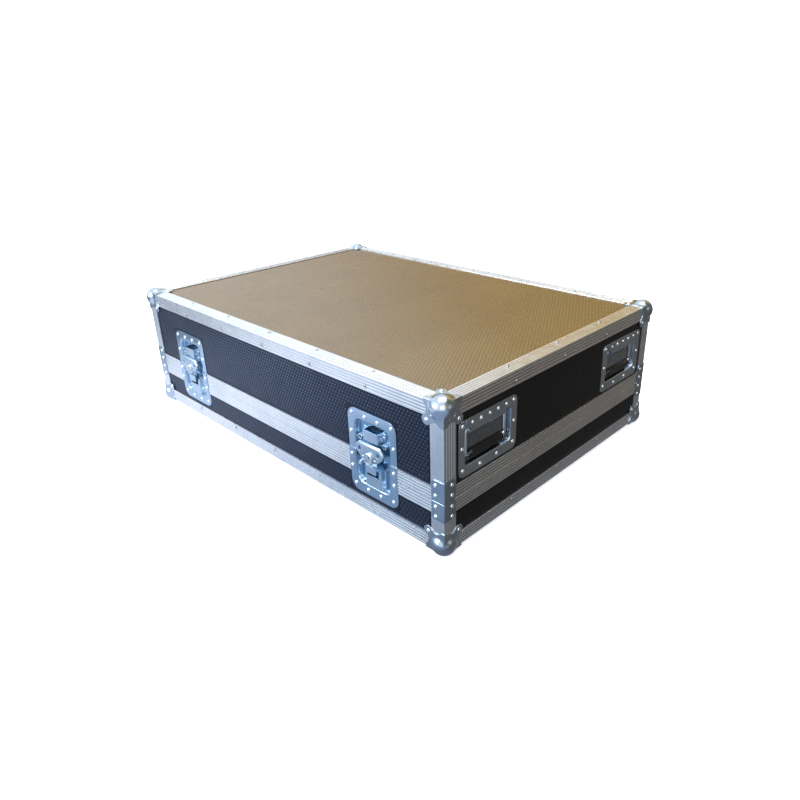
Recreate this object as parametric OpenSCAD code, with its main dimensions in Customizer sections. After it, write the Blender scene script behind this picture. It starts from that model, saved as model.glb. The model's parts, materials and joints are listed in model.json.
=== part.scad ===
// Road case for audio equipment: a deep lid that lifts off a shallow base tray.
// Textured ply panels are held by ribbed aluminium edge angles, with steel ball corners,
// recessed twist latches across the parting line and recessed handles in the lid's ends.
// Millimetres, +Z up, the long side along X, the front at -Y. The origin lies on the
// floor, under the middle of the case.

/* [Case] */
// Length over the edge angles
case_w = 1000; // [820:10:1300]
// Depth over the edge angles
case_d = 700; // [600:10:900]
// Height of the base tray, up to the parting line
base_h = 103; // [100:1:200]
// Height of the lid, from the parting line
lid_h = 185; // [180:1:320]
// Thickness of the ply panels
panel_t = 9; // [9:0.5:12]
// Thickness of the foam lining
foam_t = 20; // [15:1:40]

/* [Aluminium edges] */
// Width of each leg of an edge angle
leg = 30; // [29:0.5:34]
// Thickness of an outer leg, which stands proud of the panel
leg_t = 2; // [1.6:0.1:2.4]
// Thickness of the inner legs, behind the panels
inner_t = 1.5; // [1:0.1:1.5]
// Height of each half of the lid-location rim
rim_h = 26; // [24:1:28]
// Distance between the ribs
rib_pitch = 6; // [5:0.5:6]
// Depth of the grooves between the ribs
rib_depth = 0.5; // [0.3:0.1:1]

/* [Corners] */
// Radius of a ball corner
ball_r = 22; // [20:0.5:24]
// How far the ball's centre lies inside the faces
ball_inset = 13; // [11:0.5:14]
// Thickness of the pressed steel of corners and braces
steel_t = 1.5; // [1:0.1:2]
// Distance of a corner's rivets from both edges
corner_rivet = 36; // [34:0.5:38]
// Width of each face of a corner brace
brace_w = 28; // [26:0.5:30]

/* [Latches] */
// Distance of the latches' middles from the middle of the case
latch_x = 325; // [200:5:330]
// Width of a latch dish
latch_w = 127; // [120:1:135]
// Reach of the dish above the parting line
latch_up = 111; // [108:1:114]
// Reach of the keeper dish below the parting line
latch_down = 64; // [62:1:66]
// Depth of the latch dishes behind the panel's face
latch_depth = 7.4; // [7:0.1:7.6]

/* [Handles] */
// Distance of the handles' middles from the middle of an end
handle_y = 232; // [120:2:245]
// Depth of the handles' middles below the top of the lid
handle_drop = 103; // [100:1:110]
// Width of a handle dish
handle_w = 160; // [156:1:166]
// Height of a handle dish
handle_h = 108; // [104:1:114]
// Depth of a handle dish behind the panel's face
handle_depth = 19; // [18:0.5:20]

/* [Fasteners] */
// Radius of a rivet's head
rivet_r = 4; // [3.5:0.1:4.5]
// Height of a rivet's head
rivet_h = 2.2; // [1.2:0.1:2.6]

/* [Hidden] */
$fn = 64;
sheet_t = 1.2;
part_gap = 0.4;
mitre_gap = 0.15;
foot = ball_r - ball_inset;
parting_z = foot + base_h;
top_z = parting_z + lid_h;
panel_in = leg_t + panel_t;
core = panel_in + inner_t;
inner_leg = 26;
rim_inner_leg = 22;
rim_web = 4;
brace_up = 42;
brace_down = 37;
rivet_row = 21;
lobe_r = 10.5;
hexagon_h = 0.3;
rivet_pitch = 158;

// latch, in its own frame: x across, y into the case from the panel's face, z up from the parting line
pocket_w = 89;
pocket_up = 90;
pocket_down = 41;
pocket_r = 14;
spindle_z = 25;
head_r = 12.3;
head_y = [-14.6, -6.5];
pin_y = -9.3;
wing_y = [-10.4, -8.2];
hook_y = [-7.9, -6.5];
neck_y = [-2.2, -0.4];
keeper_y = -3;
slot_w = 31;
slot_z = [-17, -3];
hook_stroke = [0, 3.2, 2.6];
bracket_w = 39.5;
bracket_z = [57, 77];
bracket_y = -5;
spring_r = 3.6;
spring_wire = 0.8;

// handle, in its own frame: x across, y into the case, z up from its middle
grab_w = 126;
grab_z = [-32, 38];
grab_r = 8;
handle_high = 56;
bail_axis = [8, 32];
bail_r = 4;
bail_half = 54;
bail_drop = 50;
bail_bend = 7;
cover_half = 44;
grip_r = 9;
grip_half = 44;

LATCHES = ["front_left", "front_right", "back_right", "back_left"];
HANDLES = ["right_front", "right_back", "left_back", "left_front"];
function named(first, places) = [for (p = places) str(first, "_", p)];

// ---------- shared shapes ----------

// a flat outline in x and z, made thick from y0 to y1
module slab(y0, y1) {
    translate([0, y1, 0]) rotate([90, 0, 0]) linear_extrude(y1 - y0) children();
}

// the sharp tip outside a corner's arc of radius r, towards +x and +y
module tip(r) {
    difference() {
        square(r + 1);
        circle(r);
    }
}

// a rectangle, centred in x, with lower and upper corners rounded
module plate(w, z0, z1, r_low, r_high) {
    difference() {
        translate([-w / 2, z0]) square([w, z1 - z0]);
        for (s = [0, 1]) mirror([s, 0]) {
            if (r_high > 0) translate([w / 2 - r_high, z1 - r_high]) tip(r_high);
            if (r_low > 0) translate([w / 2 - r_low, z0 + r_low]) mirror([0, 1]) tip(r_low);
        }
    }
}

// an L of two legs along x and y, from the corner at `at`
module ell(at, length, thick) {
    translate([at, at]) difference() {
        square(length - at);
        translate([thick, thick]) square(length);
    }
}

// grooves along a leg that lies on the x axis
module grooves(first, last) {
    for (p = [first : rib_pitch : last])
        polygon([[p - 1.4, -0.1], [p + 1.4, -0.1], [p + 0.8, rib_depth], [p - 0.8, rib_depth]]);
}

// section of the double angle: outer legs, inner legs and the hollow core that joins them
module angle_section() {
    difference() {
        union() {
            ell(0, leg, leg_t);
            ell(panel_in, inner_leg, inner_t);
            square(core);
        }
        translate([leg_t + inner_t, leg_t + inner_t]) square(core - leg_t - 2 * inner_t);
        grooves(rib_pitch, leg - 4);
        mirror([1, -1]) grooves(rib_pitch, leg - 4);
        translate([2, 2]) rotate(180) tip(2);
    }
}

// section of the tongue half of the rim: x inwards, y up, the parting line at y = 0
module tongue_section() {
    difference() {
        union() {
            translate([0, -rim_h]) square([leg_t, rim_h]);
            translate([0, -rim_web]) square([core, rim_web]);
            translate([panel_in, -rim_inner_leg]) square([inner_t, rim_inner_leg]);
            translate([5.2, -1]) square([2.6, 6]);
        }
        rotate(-90) grooves(rib_pitch - 2, rim_h - 2);
    }
}

// section of the groove half of the rim
module groove_section() {
    web = rim_web + 5;
    difference() {
        union() {
            square([leg_t, rim_h]);
            square([core, web]);
            translate([panel_in, 0]) square([inner_t, rim_h - 1]);
        }
        translate([4.8, -1]) square([3.4, 6.6]);
        translate([-1, -1]) square([core + 2, 1 + part_gap]);
        mirror([1, -1]) grooves(rib_pitch - 2, rim_h - 2);
    }
}

// four mitred lengths of a section round the case: x of the section inwards, y up
module ring() {
    for (k = [0 : 3]) {
        long = k % 2 == 0 ? case_w : case_d;
        across = k % 2 == 0 ? case_d : case_w;
        rotate(90 * k) translate([0, -across / 2, 0]) intersection() {
            rotate([90, 0, 90]) linear_extrude(long, center = true) children();
            translate([0, 0, -100]) linear_extrude(200)
                polygon([[-long / 2 + mitre_gap, 0], [long / 2 - mitre_gap, 0],
                         [long / 2 - mitre_gap - 60, 60], [-long / 2 + mitre_gap + 60, 60]]);
        }
    }
}

// every upright edge of the case, with the corner at the origin and the case towards +x and +y
module at_uprights() {
    for (sx = [0, 1], sy = [0, 1])
        mirror([sx, 0, 0]) mirror([0, sy, 0]) translate([-case_w / 2, -case_d / 2, 0]) children();
}

// latches 0 and 1 are on the front, 2 and 3 on the back
module at_latch(i) {
    rotate(i < 2 ? 0 : 180) translate([(i % 2 == 0 ? -1 : 1) * latch_x, leg_t - case_d / 2, parting_z])
        children();
}

// handles 0 and 1 are on the right end, 2 and 3 on the left
module at_handle(i) {
    rotate(i < 2 ? 90 : -90) translate([(i % 2 == 0 ? -1 : 1) * handle_y, leg_t - case_w / 2,
        top_z - handle_drop]) children();
}

// the room that the latch dishes take out of panels and rims
module latch_room(deep) {
    for (i = [0 : 3]) at_latch(i)
        slab(-8, deep) plate(pocket_w + 2 * sheet_t, -pocket_down - sheet_t, pocket_up + sheet_t,
            pocket_r, pocket_r);
}

// the room that the handle dishes take out of panels and foam
module handle_room(grow) {
    for (i = [0 : 3]) at_handle(i)
        slab(-8, handle_depth + sheet_t + grow)
            plate(grab_w + 2 * (sheet_t + grow), grab_z[0] - sheet_t - grow,
                  grab_z[1] + sheet_t + grow, grab_r, grab_r);
}

// ---------- fasteners ----------

// a domed rivet head that stands on y = 0 and rises towards -y
module rivet(r = rivet_r) {
    dome = (r * r + rivet_h * rivet_h) / (2 * rivet_h);
    rotate([90, 0, 0]) intersection() {
        translate([0, 0, rivet_h - dome]) sphere(dome);
        cylinder(r = r, h = rivet_h);
    }
}

// a row of small rivets along one length of edge angle, on its side face and its flat face
module angle_rivets(long) {
    n = floor((long - 300) / rivet_pitch / 2);
    for (k = [-n : n]) translate([k * rivet_pitch, 0, 0]) {
        translate([0, 0, rivet_row]) rivet(3.2);
        translate([0, rivet_row, 0]) rotate([90, 0, 0]) rivet(3.2);
    }
}

// the rivets on a ball corner's three flanges, the corner at the origin and the case in +x +y +z
module corner_rivets() {
    for (turn = [[0, 0, 0], [90, 0, 90], [0, -90, -90]]) rotate(turn)
        translate([corner_rivet, -steel_t, corner_rivet]) rivet();
}

module brace_rivets(first) {
    for (z = [first, first + 20]) {
        translate([18.5, -steel_t, z]) rivet();
        translate([-steel_t, 18.5, z]) rotate(-90) rivet();
    }
}

// ---------- edges and corners ----------

module edge_angles() {
    ring() angle_section();
}

// one flange of a ball corner: pointed along both edges, with a lobe round the rivet
module flange_outline() {
    difference() {
        union() {
            polygon([[0, 0], [44, 0], [38, 12], [44, corner_rivet], [corner_rivet, 44], [12, 38], [0, 44]]);
            translate([corner_rivet, corner_rivet]) circle(lobe_r);
        }
        for (s = [0, 1]) mirror([s, -s]) {
            translate([49, 18]) circle(12);
            translate([corner_rivet + lobe_r - 0.3, corner_rivet]) square([10, 10]);
        }
    }
}

// a ball corner at the origin, for the case in +x +y +z
module ball_corner() {
    difference() {
        union() {
            translate([ball_inset, ball_inset, ball_inset]) sphere(ball_r);
            for (turn = [[0, 0, 0], [90, 0, 90], [0, -90, -90]]) rotate(turn)
                slab(-steel_t, 0) union() {
                    flange_outline();
                    translate([-steel_t, -steel_t]) square([44 + steel_t, steel_t]);
                    translate([-steel_t, -steel_t]) square([steel_t, 44 + steel_t]);
                }
        }
        cube(80);
        translate([ball_inset, ball_inset, ball_inset]) sphere(ball_r - steel_t);
    }
}

// a brace round an upright edge, from z = 0 up, its far corners more rounded than those at z = 0
module corner_brace(height) {
    for (turn = [0, 1]) mirror([turn, -turn, 0]) slab(-steel_t, 0) intersection() {
        plate(2 * brace_w, 0, height, 3, 8);
        translate([-steel_t, 0]) square([2 * brace_w, height]);
    }
    translate([-steel_t, -steel_t, 0]) cube([steel_t, steel_t, height]);
}

// ---------- panels and foam ----------

// a flat panel between the cores of two edge angles, its outer face at z = 0 and its body below;
// the tops of the face's small hexagons are one plane, clear of the angles and corner flanges
module flat_panel() {
    translate([core - case_w / 2, core - case_d / 2, -panel_t])
        cube([case_w - 2 * core, case_d - 2 * core, panel_t]);
    translate([0, 0, -1]) linear_extrude(1 + hexagon_h) difference() {
        square([case_w - 2 * leg - 1, case_d - 2 * leg - 1], center = true);
        for (sx = [-1, 1], sy = [-1, 1]) translate([sx * case_w / 2, sy * case_d / 2])
            square(2 * (corner_rivet + lobe_r + 2), center = true);
    }
}

// an upright panel: side 0 front, 1 right, 2 back, 3 left
module upright_panel(side, z0, z1) {
    long = side % 2 == 0 ? case_w : case_d;
    across = side % 2 == 0 ? case_d : case_w;
    difference() {
        rotate(90 * side) translate([core - long / 2, leg_t - across / 2, z0])
            cube([long - 2 * core, panel_t, z1 - z0]);
        latch_room(panel_t + 1);
        handle_room(0);
    }
}

module base_panel(side) {
    color([0.07, 0.08, 0.1]) upright_panel(side, foot + core, parting_z - rim_web);
}

module lid_panel(side) {
    color([0.07, 0.08, 0.1]) upright_panel(side, parting_z + rim_web + 5, top_z - core);
}

// pads along the four walls, the front and back ones full length
module wall_pads(z0, z1) {
    for (side = [0 : 3]) {
        long = side % 2 == 0 ? case_w - 2 * core : case_d - 2 * core - 2 * foam_t - 1;
        across = side % 2 == 0 ? case_d : case_w;
        rotate(90 * side) translate([-long / 2, core - across / 2, z0]) cube([long, foam_t, z1 - z0]);
    }
}

module flat_pad(z) {
    edge = core + foam_t;
    translate([edge - case_w / 2, edge - case_d / 2, z])
        cube([case_w - 2 * edge, case_d - 2 * edge, foam_t]);
}

// ---------- base tray ----------

module base_bottom_panel() {
    color([0.42, 0.36, 0.27]) translate([0, 0, foot + leg_t]) mirror([0, 0, 1]) flat_panel();
}

module base_edge_angles() {
    color([0.78, 0.8, 0.82]) translate([0, 0, foot]) edge_angles();
}

module base_corner_angles() {
    low = foot + leg;
    color([0.78, 0.8, 0.82]) at_uprights() translate([0, 0, low])
        linear_extrude(parting_z - rim_h - low) angle_section();
}

module base_rim() {
    color([0.78, 0.8, 0.82]) difference() {
        translate([0, 0, parting_z]) ring() tongue_section();
        latch_room(latch_depth + sheet_t);
    }
}

module base_ball_corners() {
    color([0.6, 0.63, 0.68]) at_uprights() translate([0, 0, foot]) ball_corner();
}

module base_corner_braces() {
    color([0.45, 0.5, 0.56]) at_uprights() translate([0, 0, parting_z]) mirror([0, 0, 1])
        corner_brace(brace_down);
}

module base_rivets() {
    color([0.85, 0.85, 0.86]) {
        at_uprights() translate([0, 0, foot]) corner_rivets();
        at_uprights() brace_rivets(parting_z - 30);
        for (k = [0 : 3]) rotate(90 * k)
            translate([0, -(k % 2 == 0 ? case_d : case_w) / 2, foot])
                angle_rivets(k % 2 == 0 ? case_w : case_d);
        for (i = [0 : 3]) at_latch(i) for (s = [-1, 1]) {
            translate([s * 56, -leg_t - sheet_t, -12]) rivet();
            translate([s * 51, -sheet_t, -50]) rivet();
            translate([s * 17, -sheet_t, -53]) rivet();
        }
    }
}

module base_foam_floor() {
    color([0.12, 0.12, 0.13]) flat_pad(foot + panel_in);
}

module base_foam_walls() {
    color([0.12, 0.12, 0.13]) wall_pads(foot + core, parting_z - 1);
}

// ---------- lid ----------

module lid_top_panel() {
    color([0.62, 0.53, 0.38]) translate([0, 0, top_z - leg_t]) flat_panel();
}

module lid_edge_angles() {
    color([0.78, 0.8, 0.82]) translate([0, 0, top_z]) mirror([0, 0, 1]) edge_angles();
}

module lid_corner_angles() {
    low = parting_z + rim_h;
    color([0.78, 0.8, 0.82]) at_uprights() translate([0, 0, low])
        linear_extrude(top_z - leg - low) angle_section();
}

module lid_rim() {
    color([0.78, 0.8, 0.82]) difference() {
        translate([0, 0, parting_z]) ring() groove_section();
        latch_room(latch_depth + sheet_t);
    }
}

module lid_ball_corners() {
    color([0.6, 0.63, 0.68]) at_uprights() translate([0, 0, top_z]) mirror([0, 0, 1]) ball_corner();
}

module lid_corner_braces() {
    color([0.45, 0.5, 0.56]) at_uprights() translate([0, 0, parting_z + part_gap])
        corner_brace(brace_up - part_gap);
}

module lid_rivets() {
    color([0.85, 0.85, 0.86]) {
        at_uprights() translate([0, 0, top_z]) mirror([0, 0, 1]) corner_rivets();
        at_uprights() brace_rivets(parting_z + 12);
        for (k = [0 : 3]) rotate(90 * k)
            translate([0, -(k % 2 == 0 ? case_d : case_w) / 2, top_z]) mirror([0, 0, 1])
                angle_rivets(k % 2 == 0 ? case_w : case_d);
        for (i = [0 : 3]) at_latch(i) for (s = [-1, 1]) {
            for (x = [17, 52]) translate([s * x, -sheet_t, 100]) rivet();
            translate([s * 56, -sheet_t, 61]) rivet();
            translate([s * 56, -leg_t - sheet_t, 13]) rivet();
        }
        for (i = [0 : 3]) at_handle(i) {
            for (s = [-1, 1], p = [[70, 46], [23.5, 46], [71.5, 4], [70, -38], [23.5, -43]])
                translate([s * p[0], -sheet_t, p[1]]) rivet();
            for (x = [-46.5, 0, 46.5]) translate([x, -sheet_t, 46.5]) rivet(3.2);
            for (s = [-1, 1]) translate([s * 18, handle_depth, 9]) rivet(3.2);
        }
    }
}

module lid_foam_top() {
    color([0.12, 0.12, 0.13]) flat_pad(top_z - panel_in - foam_t);
}

module lid_foam_walls() {
    color([0.12, 0.12, 0.13]) difference() {
        wall_pads(parting_z + 1, top_z - core);
        handle_room(1);
    }
}

// ---------- latches ----------

// half of a pressed latch dish, from `start` to `reach` above the parting line
module dish_half(start, reach, pocket) {
    over = rim_h + sheet_t;
    rim_face = -leg_t - sheet_t;
    difference() {
        union() {
            slab(-sheet_t, 0) plate(latch_w, rim_h, reach, 0, 20);
            slab(rim_face, -leg_t) plate(latch_w, start, over, 0, 0);
            slab(rim_face, 0) plate(latch_w, rim_h, over, 0, 0);
            slab(rim_face, 0) plate(pocket_w + 2 * sheet_t, start, over, 0, 0);
            slab(-sheet_t, latch_depth + sheet_t)
                plate(pocket_w + 2 * sheet_t, start, pocket + sheet_t, 0, pocket_r);
        }
        slab(rim_face - 1, latch_depth) plate(pocket_w, start - 1, pocket, 0, pocket_r - sheet_t);
    }
}

// the spring bracket: a box open at its top, with two riveted feet and two eyes beside it
module spring_bracket() {
    difference() {
        slab(bracket_y, latch_depth) plate(bracket_w, bracket_z[0], bracket_z[1], 0, 0);
        slab(bracket_y + steel_t, latch_depth + 1)
            plate(bracket_w - 2 * steel_t, bracket_z[0] + steel_t, bracket_z[1] + 1, 0, 0);
    }
    slab(latch_depth - steel_t, latch_depth) difference() {
        plate(bracket_w + 28, bracket_z[0] + 9, bracket_z[1] + 4, 4, 4);
        plate(bracket_w - 1, bracket_z[0] - 1, bracket_z[1] + 5, 0, 0);
    }
    for (s = [-1, 1]) {
        translate([s * 28, latch_depth - steel_t, 73.5]) rivet(3.2);
        slab(-1.5, latch_depth) translate([s * 32, 56]) difference() {
            circle(5.6);
            circle(2.6);
        }
    }
}

module latch_dish(i) {
    color([0.55, 0.62, 0.7]) at_latch(i) {
        difference() {
            dish_half(part_gap, latch_up, pocket_up);
            translate([0, latch_depth - 1, spindle_z]) rotate([-90, 0, 0]) cylinder(r = 5.06, h = 4);
        }
        spring_bracket();
    }
}

module keeper_dish(i) {
    color([0.55, 0.62, 0.7]) at_latch(i) {
        mirror([0, 0, 1]) dish_half(0, latch_down, pocket_down);
        difference() {
            slab(keeper_y, latch_depth) plate(44, 1 - pocket_down, -1, 0, 4);
            slab(keeper_y + sheet_t, latch_depth + 1)
                plate(44 - 2 * sheet_t, 1 - pocket_down + sheet_t, -1 - sheet_t, 0, 3);
            slab(keeper_y - 1, keeper_y + sheet_t + 1) plate(slot_w, slot_z[0], slot_z[1], 1, 1);
        }
    }
}

// a helix of round wire along x, as rings of points joined into one closed solid
module spring(coil_r, wire_r, turns, length) {
    sides = 6;
    steps = 10 * turns;
    points = [for (s = [0 : steps], k = [0 : sides - 1])
        let (a = 360 * s * turns / steps, b = 360 * k / sides, r = coil_r + wire_r * cos(b))
        [length * s / steps + wire_r * sin(b), r * cos(a), r * sin(a)]];
    skin = [for (s = [0 : steps - 1], k = [0 : sides - 1])
        let (n = (k + 1) % sides)
        [s * sides + k, (s + 1) * sides + k, (s + 1) * sides + n, s * sides + n]];
    ends = [[for (k = [0 : sides - 1]) k],
            [for (k = [sides - 1 : -1 : 0]) steps * sides + k]];
    polyhedron(points, concat(skin, ends), convexity = 10);
}

module latch_springs() {
    color([0.8, 0.82, 0.85]) for (i = [0 : 3]) at_latch(i)
        translate([-15, 1.2, 68]) spring(spring_r, spring_wire, 6, 30);
}

// the spindle: head, cross pin, barrel, cam and the stem that turns in the dish floor
module latch_spindle(i) {
    color([0.75, 0.78, 0.83]) at_latch(i) translate([0, 0, spindle_z]) {
        difference() {
            union() {
                slab(head_y[0] + 3.6, head_y[1]) circle(head_r);
                translate([0, head_y[0] + 3.6, 0]) rotate([90, 0, 0])
                    cylinder(r1 = head_r, r2 = head_r - 1.2, h = 3.6);
            }
            for (s = [-1, 1]) slab(head_y[0] - 1, head_y[0] + 1) translate([s * 2.6, s * 4]) circle(1.4);
        }
        slab(head_y[1] - 1, latch_depth - 0.3) circle(7);
        translate([2, 0, 0]) slab(3.6, latch_depth - 0.3) circle(9.5);
        slab(latch_depth - 1, latch_depth + sheet_t - 0.1) circle(5);
        translate([-17.6, pin_y, 0]) rotate([0, 90, 0]) cylinder(r = 1.5, h = 35.2);
    }
}

// the wing: a pressed key plate that folds flat round the head, with two holes
module wing_outline() {
    difference() {
        union() {
            for (s = [-1, 1]) scale([s, 1])
                polygon([[0, 52], [27, 52], [34, 45], [36.5, 39], [35.2, 33], [26.4, 26], [22, 22.5],
                    [15.5, 22.5], [15.5, 18.6], [0, 18.6]]);
            translate([-17, 14.6]) circle(4.6);
            translate([-21.6, 14.6]) square([8.4, 8]);
        }
        translate([0, spindle_z]) circle(head_r + 0.9);
        translate([-head_r - 0.9, 0]) square([2 * head_r + 1.8, spindle_z]);
        for (s = [-1, 1]) hull() for (z = [37, 41]) translate([s * 24.5, z]) circle(3);
    }
}

module latch_wing(i) {
    color([0.62, 0.69, 0.78]) at_latch(i) difference() {
        union() {
            slab(wing_y[0], wing_y[1]) wing_outline();
            slab(wing_y[0], -6.4) plate(54, 51.4, 53, 0, 0);
            for (s = [-1, 1]) translate([s * 15.5 - 2, pin_y, spindle_z]) rotate([0, 90, 0])
                cylinder(r = 2.4, h = 4);
            translate([-17, wing_y[0] + 0.5, 14.6]) rotate([90, 0, 0]) cylinder(r = 4.2, h = 8.4);
        }
        translate([-20, pin_y, spindle_z]) rotate([0, 90, 0]) cylinder(r = 1.56, h = 40);
    }
}

// the hook: a neck round the barrel, a joggle, the plate in front of the keeper, and its nose
module latch_hook(i) {
    color([0.66, 0.72, 0.8]) at_latch(i) {
        slab(neck_y[0], neck_y[1]) difference() {
            union() {
                translate([-11, 6]) square([22, 18]);
                intersection() {
                    translate([-11, 6]) square([22, 40]);
                    translate([0, spindle_z - 1.5]) circle(12.2);
                }
            }
            for (z = [spindle_z, spindle_z - hook_stroke[2]]) translate([0, z]) circle(7.4);
            translate([-7.4, spindle_z - hook_stroke[2]]) square([14.8, hook_stroke[2]]);
        }
        slab(hook_y[0], neck_y[1]) plate(22, 6, 8, 0, 0);
        slab(hook_y[0], hook_y[1]) plate(28, -8, 8, 2, 3);
        slab(hook_y[0], keeper_y - 0.4) plate(24, -8, -6, 0, 0);
    }
}

// ---------- handles ----------

module handle_dish(i) {
    color([0.42, 0.46, 0.52]) at_handle(i) difference() {
        union() {
            slab(-sheet_t, 0) plate(handle_w, handle_high - handle_h, handle_high, 13, 13);
            slab(-sheet_t, handle_depth + sheet_t) plate(grab_w + 2 * sheet_t, grab_z[0] - sheet_t,
                grab_z[1] + sheet_t, grab_r, grab_r);
        }
        difference() {
            slab(-sheet_t - 1, handle_depth) plate(grab_w, grab_z[0], grab_z[1],
                grab_r - sheet_t, grab_r - sheet_t);
            hinge_cover();
        }
        translate([-bail_half - 8, bail_axis[0], bail_axis[1]]) rotate([0, 90, 0])
            cylinder(r = bail_r + 0.06, h = 2 * bail_half + 16);
    }
}

// the rounded cover over the bail's hinge rod, between the bail's arms
module hinge_cover() {
    translate([-cover_half, bail_axis[0], bail_axis[1]]) rotate([0, 90, 0])
        cylinder(r = bail_axis[0] + sheet_t, h = 2 * cover_half);
    slab(-sheet_t, bail_axis[0]) plate(2 * cover_half, bail_axis[1], grab_z[1] + 1, 0, 0);
}

// the bail: hinge rod, two bends, two arms and the cross rod in the grip
module handle_bail(i) {
    low = bail_axis[1] - bail_drop;
    color([0.75, 0.77, 0.8]) at_handle(i) translate([0, bail_axis[0], 0]) {
        for (z = [bail_axis[1], low]) translate([bail_bend - bail_half, 0, z]) rotate([0, 90, 0])
            cylinder(r = bail_r, h = 2 * (bail_half - bail_bend));
        for (s = [0, 1]) mirror([s, 0, 0]) {
            translate([bail_half, 0, low + bail_bend]) cylinder(r = bail_r, h = bail_drop - 2 * bail_bend);
            translate([bail_half - bail_bend, 0, low + bail_bend]) rotate([90, 0, 0]) rotate(-90)
                rotate_extrude(angle = 90) translate([bail_bend, 0]) circle(bail_r);
            translate([bail_half - bail_bend, 0, bail_axis[1] - bail_bend]) rotate([90, 0, 0])
                rotate_extrude(angle = 90) translate([bail_bend, 0]) circle(bail_r);
        }
    }
}

module handle_grip(i) {
    color([0.06, 0.06, 0.06]) at_handle(i)
        translate([-grip_half, bail_axis[0], bail_axis[1] - bail_drop]) rotate([0, 90, 0])
            difference() {
                cylinder(r = grip_r, h = 2 * grip_half);
                translate([0, 0, -1]) cylinder(r = bail_r, h = 2 * grip_half + 2);
            }
}

// ---------- nodes ----------

base_bottom_panel();
base_panel(0);  // base_front_panel
base_panel(1);  // base_right_panel
base_panel(2);  // base_back_panel
base_panel(3);  // base_left_panel
base_edge_angles();
base_corner_angles();
base_rim();
base_ball_corners();
base_corner_braces();
base_rivets();
base_foam_floor();
base_foam_walls();
lid_top_panel();
lid_panel(0);  // lid_front_panel
lid_panel(1);  // lid_right_panel
lid_panel(2);  // lid_back_panel
lid_panel(3);  // lid_left_panel
lid_edge_angles();
lid_corner_angles();
lid_rim();
lid_ball_corners();
lid_corner_braces();
lid_rivets();
lid_foam_top();
lid_foam_walls();
latch_springs();
for (i = [0 : 3]) {
    keeper_dish(i);
    latch_dish(i);
    latch_spindle(i);
    latch_wing(i);
    latch_hook(i);
    handle_dish(i);
    handle_bail(i);
    handle_grip(i);
}
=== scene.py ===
"""Looks of the road case. Lengths are in millimetres in local frames and metres in the scene."""
import json
import math

import bmesh
import bpy
import numpy as np
from mathutils import Matrix, Vector


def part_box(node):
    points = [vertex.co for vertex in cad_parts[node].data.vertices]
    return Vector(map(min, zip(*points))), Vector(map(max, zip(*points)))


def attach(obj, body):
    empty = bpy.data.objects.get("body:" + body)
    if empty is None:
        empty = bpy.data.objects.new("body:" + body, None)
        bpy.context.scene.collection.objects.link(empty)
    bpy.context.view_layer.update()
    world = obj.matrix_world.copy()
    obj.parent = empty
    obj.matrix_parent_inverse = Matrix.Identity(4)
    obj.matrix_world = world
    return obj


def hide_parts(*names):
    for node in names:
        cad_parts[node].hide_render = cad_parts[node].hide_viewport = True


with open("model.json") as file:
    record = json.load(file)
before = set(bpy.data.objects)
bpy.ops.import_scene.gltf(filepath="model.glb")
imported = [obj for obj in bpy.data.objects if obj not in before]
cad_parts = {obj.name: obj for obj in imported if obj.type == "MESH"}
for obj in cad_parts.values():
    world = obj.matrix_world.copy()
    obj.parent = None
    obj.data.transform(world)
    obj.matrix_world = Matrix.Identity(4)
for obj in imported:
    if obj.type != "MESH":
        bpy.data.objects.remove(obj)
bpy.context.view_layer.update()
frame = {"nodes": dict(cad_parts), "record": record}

MM = 0.001
low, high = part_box("lid_edge_angles")
W, D, TOP = (high.x - low.x) / MM, (high.y - low.y) / MM, high.z / MM
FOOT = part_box("base_edge_angles")[0].z / MM
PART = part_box("base_corner_braces")[1].z / MM
LEG, LEG_T, RIM_HALF = 30.0, 2.0, 26.0      # the edge angles' legs, and half the height of the two rims
RIB, PLAIN_EDGE = 6.0, 3.0                  # the ribs' pitch, and the plain strip beside them
SHEET = 1.2                                 # sheet of the dishes
LATCHES = ["front_left", "front_right", "back_right", "back_left"]
HANDLES = ["right_front", "right_back", "left_back", "left_front"]
LATCH_HALF, LATCH_UP, LATCH_DOWN = 63.5, 111.0, 64.0        # a latch's reach from the parting line
HANDLE_HALF, HANDLE_UP, HANDLE_DOWN = 80.0, 56.0, 52.0      # a handle's reach from its middle

WORLD = Matrix.Diagonal((MM, MM, MM, 1))


def turned(degrees, axis):
    """A turn about an axis."""
    return Matrix.Rotation(math.radians(degrees), 4, axis)


def middle(node, axis):
    """Middle of a node's box along an axis, in millimetres."""
    lo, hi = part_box(node)
    return (lo[axis] + hi[axis]) / 2 / MM


LATCH_X = middle("latch_dish_front_right", 0)
HANDLE_Y = middle("handle_dish_right_back", 1)
HANDLE_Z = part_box("handle_dish_right_back")[1].z / MM - HANDLE_UP


def latch_frame(i):
    """Local frame of a latch: x along the wall, y into it, z up from the parting line."""
    front = i < 2
    x = middle("latch_dish_" + LATCHES[i], 0) * (1 if front else -1)
    return WORLD @ turned(0 if front else 180, "Z") @ Matrix.Translation((x, LEG_T - D / 2, PART))


def handle_frame(i):
    """Local frame of a handle: x along the wall, y into it, z up from the handle's middle."""
    right = i < 2
    x = middle("handle_dish_" + HANDLES[i], 1) * (1 if right else -1)
    return WORLD @ turned(90 if right else -90, "Z") @ Matrix.Translation((x, LEG_T - W / 2, HANDLE_Z))


# ---------- node materials ----------

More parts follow.
